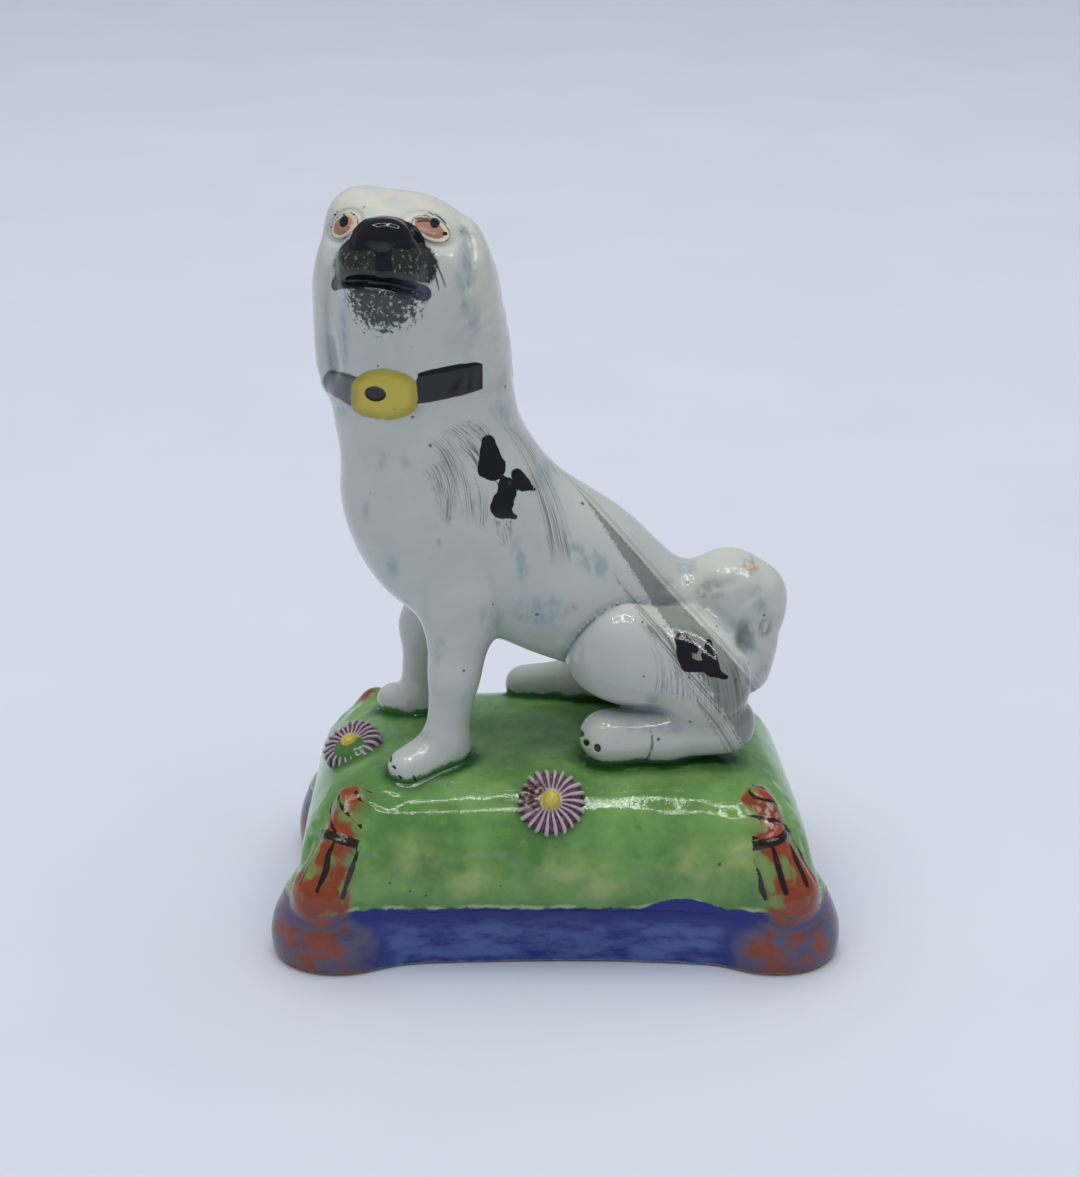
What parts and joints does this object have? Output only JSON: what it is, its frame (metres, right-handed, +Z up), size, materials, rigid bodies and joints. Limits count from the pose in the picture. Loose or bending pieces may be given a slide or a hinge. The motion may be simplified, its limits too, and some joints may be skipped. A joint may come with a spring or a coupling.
{
  "type": "staffordshire dog",
  "caption": "Seated white glazed earthenware dog with painted collar and spots, on a green tasselled cushion base with applied daisies.",
  "frame": {"origin": "middle of the flat underside of the base, at the level it stands on", "axes": "+X along the long side of the base, from the dog's chest towards its tail; +Y from the side the dog looks to towards the back of the base; +Z up"},
  "size_m": [0.0914, 0.0584, 0.1205],
  "materials": {
    "white_glaze": "clear lead glaze over pale earthenware, with black, grey and yellow enamel",
    "cushion_glaze": "green glaze, cobalt band, iron red corners and tassels",
    "daisy_glaze": "purple striped petals with a yellow centre, glazed"
  },
  "bodies": {
    "root": {"cushion_base": "cushion_glaze", "dog": "white_glaze", "daisy_front": "daisy_glaze", "daisy_left": "daisy_glaze"}
  },
  "joints": []
}
